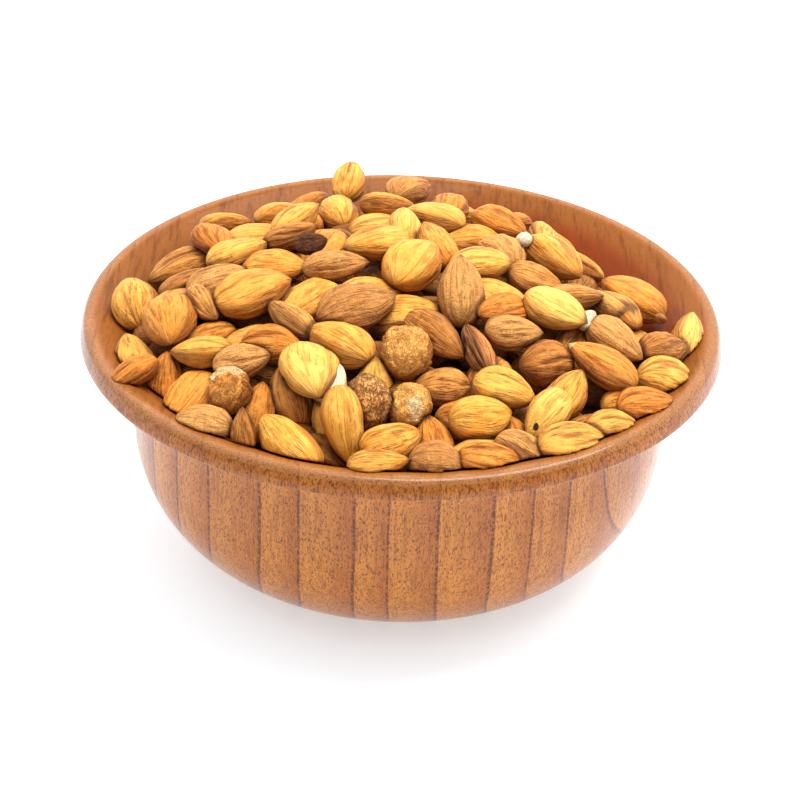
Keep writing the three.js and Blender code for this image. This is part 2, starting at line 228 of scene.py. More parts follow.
# Spots on listed kernels: the kernel's place in the list, counted from 1, x, y, reach, and 1 for a
# bare cream patch or -1 for a dark spot.
SPOTS = [
    (1, -63.5, 5.5, 3, 1),
    (76, -38, -41.5, 4, 1),
    (76, -41.5, -42, 3.5, 1),
    (57, 4, -53, 2.8, 1),
    (85, 38, -26.5, 3, 1),
    (47, 43.5, -13, 3, 1),
    (74, -13, -20, 1.5, 1),
    (87, 28.5, -54.5, 0.95, -1),
    (87, 30.4, -55.9, 1, -1),
    (28, -11.5, 17, 1.5, -1),
]

# Small pieces that lie between the kernels, in the same columns: the half of a blanched kernel that
# a torn skin shows, crumbs of white flesh, a pinkish scrap and the dark end of a shrivelled kernel.
BITS = [
    (-16.4, -43, 285, 16, 10, -15, "plain", 0.4, "blanched"),
    (28.3, 15.3, 60, 4.4, 20, 0, "round", 1.5, "blanched"),
    (42.3, -14.8, 60, 8, 0, 40, "slim", 0.2, "blanched"),
    (59.8, -5.5, 0, 3, 0, 0, "round", 0.5, "dusty"),
    (-21.6, 4.5, 20, 8, 0, 30, "broad", 1.2, "burnt"),
]

# What the kernels between the listed ones are like, in turn.
FILL_FINISHES = ["golden", "orange", "golden", "golden", "orange", "brown", "brown", "orange",
                 "golden", "orange", "golden", "yellow", "orange", "golden", "golden", "brown",
                 "brown", "orange", "golden"]

# Each finish: light, middle and dark colour, how strong the streaks, the specks and the crust are,
# how deep the grooves are, how knobby the surface is, how rough the skin is, and how dark the
# painted shade in the creases is. What a finish leaves out is as in the plain skin.
PLAIN_SKIN = dict(crust=0, knobs=0, crease_shade=1)
FINISHES = {
    "golden": dict(light=(1.00, 0.49, 0.082), middle=(0.90, 0.31, 0.033), dark=(0.26, 0.065, 0.008),
                   streaks=0.65, specks=0.2, groove=0.065, rough=0.44),
    "orange": dict(light=(1.00, 0.455, 0.078), middle=(0.82, 0.255, 0.029), dark=(0.22, 0.048, 0.007),
                   streaks=0.7, specks=0.25, groove=0.075, rough=0.48),
    "yellow": dict(light=(1.00, 0.58, 0.120), middle=(1.00, 0.41, 0.043), dark=(0.46, 0.13, 0.012),
                   streaks=0.45, specks=0.1, groove=0.035, rough=0.4),
    "brown": dict(light=(0.87, 0.395, 0.085), middle=(0.59, 0.210, 0.036), dark=(0.14, 0.034, 0.007),
                  streaks=0.7, specks=0.25, groove=0.1, rough=0.52),
    "dusty": dict(light=(0.82, 0.39, 0.105), middle=(0.62, 0.245, 0.057), dark=(0.22, 0.060, 0.014),
                  streaks=0.6, specks=0.4, crust=0.12, groove=0.09, knobs=0.01, rough=0.62),
    "ridged": dict(light=(0.74, 0.285, 0.080), middle=(0.52, 0.155, 0.035), dark=(0.045, 0.012, 0.005),
                   streaks=0.9, specks=0.2, groove=0.32, rough=0.55),
    "knobby": dict(light=(1.00, 0.49, 0.115), middle=(0.84, 0.275, 0.040), dark=(0.22, 0.050, 0.009),
                   streaks=0.3, specks=0.3, crust=0.3, groove=0.06, knobs=0.13, rough=0.55),
    "scaly": dict(light=(1.00, 0.48, 0.14), middle=(0.74, 0.25, 0.058), dark=(0.12, 0.030, 0.009),
                  streaks=0.2, specks=0.4, crust=0.6, groove=0.04, knobs=0.13, rough=0.7),
    "blanched": dict(light=(0.92, 0.84, 0.62), middle=(0.88, 0.76, 0.50), dark=(0.62, 0.40, 0.18),
                     streaks=0.1, specks=0.1, groove=0.02, rough=0.4, crease_shade=0.2),
    "burnt": dict(light=(0.20, 0.060, 0.016), middle=(0.09, 0.025, 0.008), dark=(0.02, 0.007, 0.003),
                  streaks=0.5, specks=0.2, crust=0.3, groove=0.12, knobs=0.08, rough=0.6),
    # The shaded finish is a darker copy of the skins, for the lower layer: painted shade.
    "shaded": dict(light=(0.42, 0.165, 0.035), middle=(0.28, 0.088, 0.015), dark=(0.06, 0.015, 0.004),
                   streaks=0.5, specks=0.2, groove=0.06, rough=0.6),
}

# Where a dark ring of the wood crosses the front of the wall under the lip, left to right, between
# others that only the sides show.
RING_CROSSINGS = [-78, -70, -65, -60.5, -56, -49.6, -41.8, -30, -21, -8.6, -1, 10, 21.8, 30.2,
                  38.5, 48, 57, 66, 78]
RING_SPAN = 160
HOOK_AT = (54, 33)  # x and height of the foot of the last ring, which turns back up
HOOK_FADE = 14
HOOK_SLOPE = 0.35

# The wood's colours, in the order in which they are laid over each other.
WOOD = {
    "early": (0.61, 0.215, 0.033),
    "late": (0.43, 0.118, 0.016),
    "other ring": (0.42, 0.13, 0.02),
    "grain": (0.24, 0.055, 0.009),
    # The inside of the bowl, and further down it, are darkened with painted shade, redder at the right.
    "inside": (0.24, 0.080, 0.018),
    "deep left": (0.23, 0.066, 0.011),
    "deep right": (0.23, 0.040, 0.006),
    "threads": (0.12, 0.030, 0.006),
    # The crest: a greyer, darker colour, a painted milky reflection of the lacquer.
    "crest": (0.31, 0.135, 0.044),
    "lip": (0.36, 0.10, 0.010),
    "lip streaks": (0.13, 0.025, 0.004),
    "flecks": (0.58, 0.23, 0.06),
    "pores": (0.14, 0.030, 0.006),
    "ring lines": (0.10, 0.026, 0.006),
}

# Colours that all skins share, among them the painted shade of the creases, and the painted shade of
# the deep ground.
CREASE_SHADE_COLOUR = (0.06, 0.014, 0.004)
DARK_SPOT_COLOUR = (0.05, 0.015, 0.006)
CREAM_COLOURS = (0.92, 0.68, 0.34), (0.72, 0.38, 0.13)
DEEP_SHADE_COLOURS = (0.08, 0.026, 0.007), (0.22, 0.075, 0.018)

# The camera, as fitted to the outline of the bowl in the photograph.
AIM = (0, 0, 30)
DISTANCE = 648.5
ELEVATION = 30.95
TILT = 1.71
LENS = 122.1
SENSOR = 36
SHIFT = (0.0015, 0.0205)
LIGHT_AIM = (0, 0, 0.04)  # in metres


# ---------------------------------------------------------------- meshes from arrays

def bend(points, steps):
    """A cubic curve through a and d, pulled by b and c:
    (1-t)^3 a + 3 (1-t)^2 t b + 3 (1-t) t^2 c + t^3 d, with t from 0 to 1."""
    t = np.linspace(0, 1, steps + 1)[:, None]
    a, b, c, d = np.array(points, float)
    return (1 - t) ** 3 * a + 3 * (1 - t) ** 2 * t * b + 3 * (1 - t) * t ** 2 * c + t ** 3 * d


def from_rim(*points):
    """Points whose height is given over the rim, as points over the table."""
    return [(radius, BOWL_HEIGHT + height) for radius, height in points]


def make_piece(name, places, quads, triangles, marks=None):
    """An object at the origin with its places in its mesh. The marks are values at each vertex."""
    mesh = bpy.data.meshes.new(name)
    mesh.vertices.add(len(places))
    mesh.vertices.foreach_set("co", (places * METRES).astype(np.float32).ravel())
    corners = np.concatenate([quads.ravel(), triangles.ravel()]).astype(np.int32)
    mesh.loops.add(len(corners))
    mesh.loops.foreach_set("vertex_index", corners)
    quad_starts = np.arange(len(quads)) * 4
    triangle_starts = len(quads) * 4 + np.arange(len(triangles)) * 3
    starts = np.concatenate([quad_starts, triangle_starts]).astype(np.int32)
    mesh.polygons.add(len(starts))
    mesh.polygons.foreach_set("loop_start", starts)
    mesh.update(calc_edges=True)
    mesh.shade_smooth()
    for mark, values in (marks or {}).items():
        flat = values.ndim == 1
        layer = mesh.attributes.new(mark, "FLOAT" if flat else "FLOAT_VECTOR", "POINT")
        layer.data.foreach_set("value" if flat else "vector", values.astype(np.float32).ravel())
    piece = bpy.data.objects.new(name, mesh)
    bpy.context.scene.collection.objects.link(piece)
    return piece


def closed_faces(rings, around, copies=1):
    """Faces of a shape that closes round itself and ends in a single point at both ends: first the
    two end points, then the rings in order. Each copy adds its own vertices."""
    i, j = np.meshgrid(np.arange(rings - 1), np.arange(around), indexing="ij")
    here, right = 2 + i * around + j, 2 + i * around + (j + 1) % around
    quads = np.stack([here, right, right + around, here + around], -1).reshape(-1, 4)
    first = 2 + np.arange(around)
    first_right = 2 + (np.arange(around) + 1) % around
    to_last = (rings - 1) * around
    start = np.stack([np.zeros(around, int), first_right, first], -1)
    end = np.stack([np.ones(around, int), first + to_last, first_right + to_last], -1)
    triangles = np.concatenate([start, end])
    step = (2 + rings * around) * np.arange(copies)[:, None, None]
    return (quads + step).reshape(-1, 4), (triangles + step).reshape(-1, 3)


def dress(piece, node, material):
    """Joins a finished piece to the part: body, the solid that it stands for, and material."""
    piece.data.materials.append(material)
    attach(piece, "root")
    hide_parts(node)
    return piece


# ---------------------------------------------------------------- the bowl

def outside_profile():
    """The outside, from the edge of the foot up the belly to the inner edge of the flat rim."""
    belly = bend([(FOOT_RADIUS, 0), *BELLY_PULLS, BELLY_TOP], 30)
    under = bend([BELLY_TOP, *from_rim(*UNDER_LIP_PULLS, LIP_EDGE)], 22)
    side = bend(from_rim(LIP_EDGE, *SIDE_PULLS, LIP_SHOULDER), 8)
    lip = bend(from_rim(LIP_SHOULDER, *LIP_PULLS, LIP_TOP), 12)
    return np.concatenate([belly, under[1:], side[1:], lip[1:]])


def inside_profile(shrink=0.0):
    """The inside, from the flat rim down the flare and the wall to the edge of the floor.
    Shrinking moves every point inwards and up by that much."""
    flare = bend(from_rim(FLARE_TOP, *FLARE_PULLS, WALL_TOP), 20)
    floor = bend([WALL_FOOT, *FLOOR_PULLS, FLOOR_EDGE], 16)
    return np.concatenate([flare, floor]) + [-shrink, shrink]


def revolve(profile, around):
    """Turns a profile about Z: (r cos a, r sin a, z). The two end points lie on the axis."""
    angle = np.arange(around) * 2 * math.pi / around
    r, z = profile[:, :1], profile[:, 1:]
    rings = np.stack([r * np.cos(angle), r * np.sin(angle), z + 0 * angle], -1).reshape(-1, 3)
    ends = [(0, 0, profile[0, 1]), (0, 0, profile[-1, 1])]
    return np.concatenate([ends, rings])


def bowl_marks(profile, outside_length):
    """Marks along the profile for the finish of the wood: how far inside the bowl a place lies, from
    0.02 at the rim to 1 at 5 mm down; whether it lies on the side of the lip; and how near it lies
    to the lip's crest, from 1 at the top to 0 at 2.2 mm down."""
    within = np.arange(len(profile)) > outside_length
    down = BOWL_HEIGHT - profile[:, 1]
    inner = np.where(within, np.clip(down / 5, 0.02, 1), 0)
    on_lip = (down < 0.02 - LIP_EDGE[1]) & (down > -LIP_SHOULDER[1] - 0.6) & ~within
    crest = np.where(within, 0, np.clip((2.2 - down) / 1.6, 0, 1))
    return {"inner": inner, "lip": on_lip, "crest": crest}


def build_bowl():
    """The bowl, turned from its profile, with its marks at each vertex. The foot and the floor are
    flat, and each has one ring more on the way to its middle."""
    outside, inside = outside_profile(), inside_profile()
    profile = np.concatenate([[(20, 0)], outside, inside, [(12, FLOOR_HEIGHT)]])
    places = revolve(profile, BOWL_AROUND)
    marks = {name: np.concatenate([values[[0, -1]], np.repeat(values, BOWL_AROUND)]).astype(float)
             for name, values in bowl_marks(profile, len(outside)).items()}
    quads, triangles = closed_faces(len(profile), BOWL_AROUND)
    piece = make_piece("bowl_turned", places, quads, triangles, marks)
    return dress(piece, "bowl", wood_material())


# ---------------------------------------------------------------- the lie of the heap

def heap_top(x, y):
    """The top of the heap: a low dome that falls towards the wall, less its dips."""
    away = (x - CROWN_CENTRE[0]) ** 2 + (y - CROWN_CENTRE[1]) ** 2
    top = BOWL_HEIGHT + CROWN_HEIGHT - WALL_DROP * away / FALL_RUN ** 2
    for dip_x, dip_y, depth, reach in DIPS:
        near = (x - dip_x) ** 2 + (y - dip_y) ** 2
        top = top - depth * np.exp(-near / (2 * reach ** 2))
    return top


def heap_normal(x, y):
    """Straight out of the heap, from the slope over 4 mm."""
    step = 2
    slope_x = (heap_top(x + step, y) - heap_top(x - step, y)) / (2 * step)
    slope_y = (heap_top(x, y + step) - heap_top(x, y - step)) / (2 * step)
    normal = np.stack([-slope_x, -slope_y, np.ones_like(slope_x)], -1)
    return normal / np.linalg.norm(normal, axis=-1, keepdims=True)


def wood_height(x, y):
    """Height of the wood inside the bowl over a point, with the clearance on it."""
    profile = inside_profile(CLEARANCE)[::-1]
    return np.interp(np.hypot(x, y), profile[:, 0], profile[:, 1], right=BOWL_HEIGHT)


def matrices(a, b, c, d, e, f, g, h, i):
    """A stack of 3 by 3 matrices from nine arrays, row by row."""
    return np.stack([a, b, c, d, e, f, g, h, i], -1).reshape(*np.shape(a), 3, 3)


def turns(x, y, heading, tip_up, roll):
    """Turns Z to the heap's normal, after the kernel's own heading, tip and roll.
    The turn of Z to n about v = Z x n is I + [v] + [v]^2 / (1 + n.z)."""
    n = heap_normal(x, y)
    one, nil = np.ones_like(n[..., 0]), np.zeros_like(n[..., 0])
    cross = matrices(nil, nil, n[..., 0], nil, nil, n[..., 1], -n[..., 0], -n[..., 1], nil)
    lie = np.eye(3) + cross + cross @ cross / (1 + n[..., 2])[..., None, None]
    h, t, r = np.radians(heading), np.radians(-np.asarray(tip_up)), np.radians(roll)
    about_z = matrices(np.cos(h), -np.sin(h), nil, np.sin(h), np.cos(h), nil, nil, nil, one)
    about_y = matrices(np.cos(t), nil, np.sin(t), nil, one, nil, -np.sin(t), nil, np.cos(t))
    about_x = matrices(one, nil, nil, nil, np.cos(r), -np.sin(r), nil, np.sin(r), np.cos(r))
    return lie @ about_z @ about_y @ about_x


def make_kernels(x, y, heading, length, tip_up, roll, form, lift):
    """Kernels along the slope of the heap, each flush with its top plus its lift. Over its middle a
    kernel is 1 / |v| high, where v is the last row of its turn over its half sizes."""
    x, y, length, lift = (np.array(values, float) for values in (x, y, length, lift))
    shape = np.array([FORMS[name] for name in form])
    half = np.stack([length / 2, length * shape[:, 0] / 2, length * shape[:, 1] / 2], -1)
    turn = turns(x, y, np.array(heading, float), np.array(tip_up, float), np.array(roll, float))
    flush = heap_top(x, y) - 1 / np.sqrt(((turn[:, 2, :] / half) ** 2).sum(-1))
    flush = np.maximum(flush, wood_height(x, y) + LEAST_REST)
    return {"x": x, "y": y, "z": flush + lift, "flush": flush, "half": half, "turn": turn,
            "point": shape[:, 2], "moved": np.zeros((len(x), 3)), "number": np.zeros(len(x))}


def pick(kernels, which):
    """Some of the kernels."""
    return {key: values[which] for key, values in kernels.items()}


def join(batches):
    """Batches of kernels as one."""
    return {key: np.concatenate([batch[key] for batch in batches]) for key in batches[0]}


def middles(kernels):
    """The middle of each kernel."""
    return np.stack([kernels["x"], kernels["y"], kernels["z"]], -1)


def quadratics(kernels):
    """For each kernel the matrix M with p M p = 1 on its surface, for p from its middle."""
    scaled = kernels["turn"] / kernels["half"][:, None, :]
    return scaled @ scaled.transpose(0, 2, 1)


REACH = 10  # half the side of the square of ground under a kernel
EDGE = 90  # half the side of the square of ground under the heap
OFFSETS = np.stack(np.meshgrid(np.arange(-REACH, REACH + 1), np.arange(-REACH, REACH + 1),
                               indexing="ij"), -1).reshape(-1, 2)


def footprint(kernels):
    """The millimetre squares under each kernel, and how far its underside and top lie from its
    middle there. With p = (away, h) on the surface p M p = 1, the height h solves a quadratic."""
    form = quadratics(kernels)
    middle = middles(kernels)[:, :2]
    squares = np.floor(middle + 0.5).astype(int)[:, None, :] + OFFSETS
    away = squares - middle[:, None, :]
    a = form[:, 2, 2, None]
    b = form[:, 0, 2, None] * away[..., 0] + form[:, 1, 2, None] * away[..., 1]
    c = np.einsum("kni,kij,knj->kn", away, form[:, :2, :2], away) - 1
    root = np.sqrt(np.maximum(b * b - a * c, 0))
    return squares + EDGE, (-b - root) / a, (-b + root) / a, root > 0


def leave(kernels, ground):
    """Leaves kernels where they lie: the ground now runs over them."""
    squares, _, over, inside = footprint(kernels)
    tops = np.where(inside, kernels["z"][:, None] + over, 0)
    np.maximum.at(ground, (squares[..., 0], squares[..., 1]), tops)


def empty_ground(depth):
    """What kernels can lie on: the wood, and a core a set depth under the top of the heap."""
    span = np.arange(-EDGE, EDGE + 1)
    x, y = np.meshgrid(span, span, indexing="ij")
    ground = np.maximum(heap_top(x, y) - depth, wood_height(x, y))
    outside = (abs(x) > LIP_RADIUS) | (abs(y) > LIP_RADIUS)
    return np.where(outside, BOWL_HEIGHT, ground)


def make_draw(start):
    """The part's own repeatable random draw, as many numbers between 0 and 1 as are asked for: the
    state times 1664525 plus 1013904223, modulo 2^32, over 2^32."""
    state = start

    def draw(count):
        """The next numbers."""
        nonlocal state
        numbers = []
        for _ in range(count):
            state = (state * 1664525 + 1013904223) % 2 ** 32
            numbers.append(state / 2 ** 32)
        return np.array(numbers)

    return draw


def drop_kernels(ground, draw, count):
    """Random kernels, each dropped until it is a little below first touch. They lie at the fill
    radius times a square root, 0.85 to 1.1 mean lengths long, with their tips up or down by up to 25
    degrees and a roll of up to 35 degrees."""
    numbers = draw(count * 7).reshape(count, 7).T
    radius, bearing = np.sqrt(numbers[0]) * FILL_RADIUS, numbers[1] * 2 * math.pi
    length = MEAN_LENGTH * (0.85 + 0.25 * numbers[2])
    form = np.where(numbers[3] < BROAD_SHARE, "broad", "plain")
    tip_up, roll = -25 + 50 * numbers[5], -35 + 70 * numbers[6]
    kernels = make_kernels(radius * np.cos(bearing), radius * np.sin(bearing), 360 * numbers[4],
                           length, tip_up, roll, form, np.zeros(count))
    squares, under, _, inside = footprint(kernels)
    touch = np.where(inside, ground[squares[..., 0], squares[..., 1]] - under, -np.inf)
    kernels["z"] = touch.max(-1) - CONTACT_SINK
    return kernels


def top_kernels():
    """The listed kernels, then the lowest of many random drops, as in the part's own source."""
    columns = list(zip(*SHOWN))
    listed = make_kernels(*columns[:8])
    ground = empty_ground(CORE_DEPTH)
    leave(listed, ground)
    draw = make_draw(FILL_SEED)
    batches = [listed]
    while True:
        drops = drop_kernels(ground, draw, TRIES)
        rise = drops["z"] - drops["flush"]
        lowest = int(np.argmin(rise))
        if rise[lowest] > STEEPEST:
            break
        kept = pick(drops, [lowest])
        kept["z"] = np.minimum(kept["z"], kept["flush"] + PROUD)
        leave(kept, ground)
        batches.append(kept)
    filled = len(batches) - 1
    finishes = list(columns[8]) + [FILL_FINISHES[k % len(FILL_FINISHES)] for k in range(filled)]
    kernels = join(batches)
    kernels["number"] = np.arange(len(finishes)) + 1
    return kernels, finishes


def trial_spots(kernels):
    """Spots spread evenly over each kernel, seen from its middle: on a spiral down a ball,
    (s cos a, s sin a, h) with s^2 = 1 - h^2, times the half sizes and turned with the kernel."""
    k = np.arange(TRIAL_SPOTS) + 0.5
    h, a = 1 - 2 * k / TRIAL_SPOTS, k * math.pi * (1 + 5 ** 0.5)
    s = np.sqrt(1 - h ** 2)
    ball = np.stack([s * np.cos(a), s * np.sin(a), h], -1)
    return (ball * kernels["half"][:, None, :]) @ kernels["turn"].transpose(0, 2, 1)


def shoves(place, spread, form):
    """How far each kernel is moved by its neighbours in one round. Its spots are tried in each
    neighbour; the one that lies deepest, by (1 - p M p) / (2 |M p|), moves both along M p."""
    apart = np.linalg.norm(place[:, None] - place[None], axis=-1)
    i, j = np.nonzero((apart < PUSH_WITHIN) & (apart > 0))
    p = spread[i] + (place[i] - place[j])[:, None, :]
    slope = p @ form[j]
    depth = (1 - (p * slope).sum(-1)) / (2 * np.linalg.norm(slope, axis=-1))
    pairs, deepest = np.arange(len(i)), depth.argmax(-1)
    push = slope[pairs, deepest]
    push *= (np.maximum(depth[pairs, deepest], 0) / np.linalg.norm(push, axis=-1))[:, None]
    move = np.zeros_like(place)
    np.add.at(move, i, push * GIVE_WAY)
    np.add.at(move, j, -push * GIVE_WAY)
    return move


def settle(kernels):
    """Moves kernels that pass through each other apart, a little in each round. Its neighbours push
    none further from home than a set reach along each axis. Then one that has gone outwards is
    drawn back in to its first distance from the middle, and one in the wood is lifted out."""
    spread, form, place = trial_spots(kernels), quadratics(kernels), middles(kernels)
    home = place.copy()
    for _ in range(SETTLE_ROUNDS):
        moved = place + shoves(place, spread, form) - home
        place = home + np.clip(moved, -SETTLE_REACH, SETTLE_REACH * [1, 1, SETTLE_RISE])
        outwards = np.hypot(place[:, 0], place[:, 1]) / np.hypot(home[:, 0], home[:, 1])
        place[:, :2] /= np.maximum(outwards, 1)[:, None]
        place[:, 2] = np.maximum(place[:, 2], wood_height(place[:, 0], place[:, 1]) + LEAST_REST)
    return {**kernels, "x": place[:, 0], "y": place[:, 1], "z": place[:, 2], "moved": place - home}


def crease_shades(places, kernels, others):
    """How close each place of some kernels comes to one of the others, which sets the painted shade in
    the creases: exp(-gap / reach), so 1 where they touch and about a third at the reach. The gap is
    (p M p - 1) / (2 |M p|)."""
    each = places.reshape(len(kernels["x"]), -1, 3)
    own, rest, form = middles(kernels), middles(others), quadratics(others)
    close = np.zeros(each.shape[:2])
    for k in range(len(own)):
        apart = np.linalg.norm(rest - own[k], axis=-1)
        for other in np.nonzero((apart < CREASE_SHADE_WITHIN) & (apart > 1e-6))[0]:
            p = each[k] - rest[other]
            slope = p @ form[other]
            gap = ((p * slope).sum(-1) - 1) / (2 * np.linalg.norm(slope, axis=-1) + 1e-9)
            close[k] = np.maximum(close[k], np.exp(-np.maximum(gap, 0) / CREASE_SHADE_REACH))
    return close.reshape(-1)


def lower_kernels():
    """A layer under the top one, laid on the deep ground in the same way. It comes up a little
    towards the back wall, where the top one is thin."""
    ground = empty_ground(DEEP_DEPTH)
    draw = make_draw(LOWER_SEED)
    batches = []
    back_from, back_to = LOWER_BACK
    for _ in range(LOWER_COUNT):
        drops = drop_kernels(ground, draw, LOWER_TRIES)
        rise = drops["z"] - drops["flush"]
        kept = pick(drops, [int(np.argmin(rise))])
        rise_back = LOWER_BACK_RISE * np.clip((kept["y"] - back_from) / (back_to - back_from), 0, 1)
        kept["z"] = np.minimum(kept["z"], kept["flush"] - LOWER_DEPTH + rise_back)
        leave(kept, ground)
        batches.append(kept)
    return join(batches)


# ---------------------------------------------------------------- one kernel's surface

def clouds(places, cell):
    """Smooth noise from -1 to 1 on a lattice: each corner has a random value, what is left of
    43758.5453 sin(corner . (127.1, 311.7, 74.7)) without its whole part, and between them they blend
    by t^2 (3 - 2 t)."""
    scaled = places / cell
    low = np.floor(scaled)
    part = scaled - low
    part = part * part * (3 - 2 * part)
    total = np.zeros(places.shape[:-1])
    for corner in np.ndindex(2, 2, 2):
        at = low + corner
        wave = np.sin(at @ [127.1, 311.7, 74.7]) * 43758.5453
        weight = np.prod(np.where(np.array(corner) == 1, part, 1 - part), axis=-1)
        total += weight * (2 * (wave - np.floor(wave)) - 1)
    return total


def groove_relief(along, around, count, chance):
    """Grooves that run from end to end: each is a narrow dent round its own wandering bearing,
    exp(k (cos(a - a0) - 1)), that fades out along the kernel. Gives their total."""
    total = np.zeros(np.broadcast_shapes(along.shape, around.shape))
    kernels = along.shape[0]
    for _ in range(count):
        bearing, wave, phase, depth, middle = chance.random((5, kernels, 1, 1))
        wander = 0.16 * np.sin(2.2 * along + 6.28 * phase) + 0.1 * (wave - 0.5) * along
        narrow = 70 + 130 * wave
        dent = np.exp(narrow * (np.cos(around - 6.28 * bearing - wander) - 1))
        fade = np.exp(-((along - 1.2 * (middle - 0.5)) / 0.75) ** 4)
        total += dent * fade * (0.35 + 0.65 * depth)
    return total


def drop_radius(t, point):
    """Radius of a drop along its length, blunt at -1 and pointed at 1: (1+t)^0.5 (1-t)^p over its
    own largest value, which lies at t = (0.5-p) / (0.5+p)."""
    widest = (0.5 - point) / (0.5 + point)
    return np.sqrt(1 + t) * (1 - t) ** point / (np.sqrt(1 + widest) * (1 - widest) ** point)


def slow_lumps(t, a, chance, count):
    """How uneven each kernel is: a few waves round it, s cos(k a + phase + slide t)."""
    lumps = 0
    for turn in (1, 2, 3, 4):
        size, phase, slide = chance.uniform(-1, 1, (3, count, 1, 1))
        lumps = lumps + 0.03 * size * np.cos(turn * a + 3.14 * phase + 2.4 * slide * t)
    return lumps


def fine_relief(ball, size_mm, start, around, knobs):
    """Wrinkles that wander along the kernel, (1 + sin(number a + 4 clouds)) / 2; dents of two sizes;
    and clefts where the finer clouds cross zero, exp(-(clouds / 0.22)^2), with knobs between them."""
    wrinkles = np.sin(around * WRINKLES + 4 * clouds(ball + start, 0.6)) * 0.5 + 0.5
    fine = clouds(ball * size_mm + start, FINE_CELL)
    dents = 0.055 * clouds(ball * size_mm + start, BROAD_CELL) + 0.02 * fine
    return wrinkles, dents, knobs * np.exp(-(fine / 0.22) ** 2)


def bent_drop(t, a, radius, swell, bends):
    """A drop in half sizes: (t, r cos a, r tanh(f |sin a|^1.3) / tanh(f) on either side), where r is
    the radius times the swell and f a fullness of its own. It is twisted along its length, cambered
    to one side by 1 - t^2, and sags by t^2; its tip is a little longer than 1."""
    camber, twist, sag, fat, lean = bends
    full = 1.3 + 0.5 * lean
    flat = np.sign(np.sin(a)) * np.tanh(full * np.abs(np.sin(a)) ** 1.3) / np.tanh(full)
    y = radius * swell * np.cos(a)
    z = radius * swell * flat * (1 + 0.1 * fat * np.sin(a))
    turn_by = 0.22 * twist * t
    y, z = y * np.cos(turn_by) - z * np.sin(turn_by), y * np.sin(turn_by) + z * np.cos(turn_by)
    x = t + 0.03 * np.exp(-(1 - t) / 0.03) + 0.03 * lean * np.cos(a) * radius
    y = y + 0.12 * camber * (1 - t ** 2) - 0.08 * camber
    z = z + 0.1 * sag * (t ** 2 - 0.4)
    return np.stack(np.broadcast_arrays(x, y, z), -1)


def drop_ends(bends):
    """The two end points of each drop in half sizes, first the blunt one: where the camber and the
    sag of the surface take them."""
    camber, _, sag, _, _ = bends
    ends = np.zeros((len(camber), 2, 3))
    ends[:, 0, 0], ends[:, 1, 0] = -1, 1.03
    ends[:, :, 1] = -0.08 * camber[:, :, 0]
    ends[:, :, 2] = 0.06 * sag[:, :, 0]
    return ends


def with_ends(ends, grid):
    """The values at the two end points of each kernel, then those of its grid, row by row."""
    return np.concatenate([ends, grid.reshape(len(grid), -1, *grid.shape[3:])], 1)


def skin_marks(t, a, grooves, wrinkles):
    """Two marks for the skin: where a place lies, (t, cos a, sin a), and how deep in a groove or a
    wrinkle it is, from 0 to 1.5."""
    count = len(grooves)
    axes = np.stack(np.broadcast_arrays(grooves * 0 + t, np.cos(a), np.sin(a)), -1)
    lie = with_ends(np.array([(-1, 0, 0), (1, 0, 0)]) + np.zeros((count, 1, 1)), axes)
    cut = with_ends(np.zeros((count, 2)), np.clip(grooves * 0.9 + 0.35 * wrinkles ** 3, 0, 1.5))
    return {"lie": lie.reshape(-1, 3), "groove": cut.reshape(-1)}


def kernel_surface(kernels, steps, groove, knobs, seed):
    """Kernels on a grid, and their marks: t runs from the blunt end at -1 to the tip at 1, a runs
    round the length. The radius swells by lumps and dents, and shrinks in grooves, wrinkles and
    clefts. The bent drop is scaled, turned and moved to its place, and kept out of the wood."""
    chance = np.random.default_rng(seed)
    rings, around = steps
    count = len(kernels["x"])
    t = -np.cos(math.pi * np.arange(1, rings + 1) / (rings + 1))[None, :, None]
    a = (2 * math.pi * np.arange(around) / around)[None, None, :]
    radius = drop_radius(t, kernels["point"][:, None, None])
    bends = chance.uniform(-1, 1, (5, count, 1, 1))
    lumps = slow_lumps(t, a, chance, count)
    grooves = groove_relief(t + np.zeros((count, 1, 1)), a, GROOVES, chance)
    start = chance.uniform(-50, 50, (count, 1, 1, 3))
    half = kernels["half"][:, None, :]
    ball = np.stack(np.broadcast_arrays(t, radius * np.cos(a), radius * np.sin(a)), -1)
    wrinkles, dents, clefts = fine_relief(ball, half[:, None], start, a, knobs)
    swell = 1 + lumps + dents - groove * grooves - (0.4 * groove + 0.01) * wrinkles - clefts
    drop = bent_drop(t, a, radius, swell, bends) * half[:, None]
    local = with_ends(drop_ends(bends) * half, drop)
    middle = middles(kernels)
    places = local @ kernels["turn"].transpose(0, 2, 1) + middle[:, None, :]
    places = keep_off_wood(places, middle)
    marks = skin_marks(t, a, grooves, wrinkles)
    marks["skin"] = (local + start[:, 0] * 10).reshape(-1, 3)  # in millimetres, each kernel elsewhere
    marks["tone"] = np.repeat(chance.random(count), places.shape[1])
    marks["spot"] = spots_on(places, kernels).reshape(-1)
    return places.reshape(-1, 3), marks


def spots_on(places, kernels):
    """Bare cream patches from 0 to 1 at their middle, and dark spots from 0 to -1, each a round spot
    in plan on the upper side of its kernel. It moves with a kernel that has settled."""
    spot = np.zeros(places.shape[:-1])
    for number, x, y, reach, strength in SPOTS:
        for k in np.nonzero(kernels["number"] == number)[0]:
            away = places[k, :, :2] - kernels["moved"][k, :2] - [x, y]
            near = 1 - np.hypot(away[:, 0], away[:, 1]) / reach
            near = np.where(places[k, :, 2] > kernels["z"][k] - 1, np.maximum(near, 0), 0)
            spot[k] = np.where(near > abs(spot[k]), near * strength, spot[k])
    return spot


def in_wood(places):
    """True where a place lies in the wood of the wall, the flare or the floor, or in the clearance
    over it."""
    return places[..., 2] < wood_height(places[..., 0], places[..., 1])


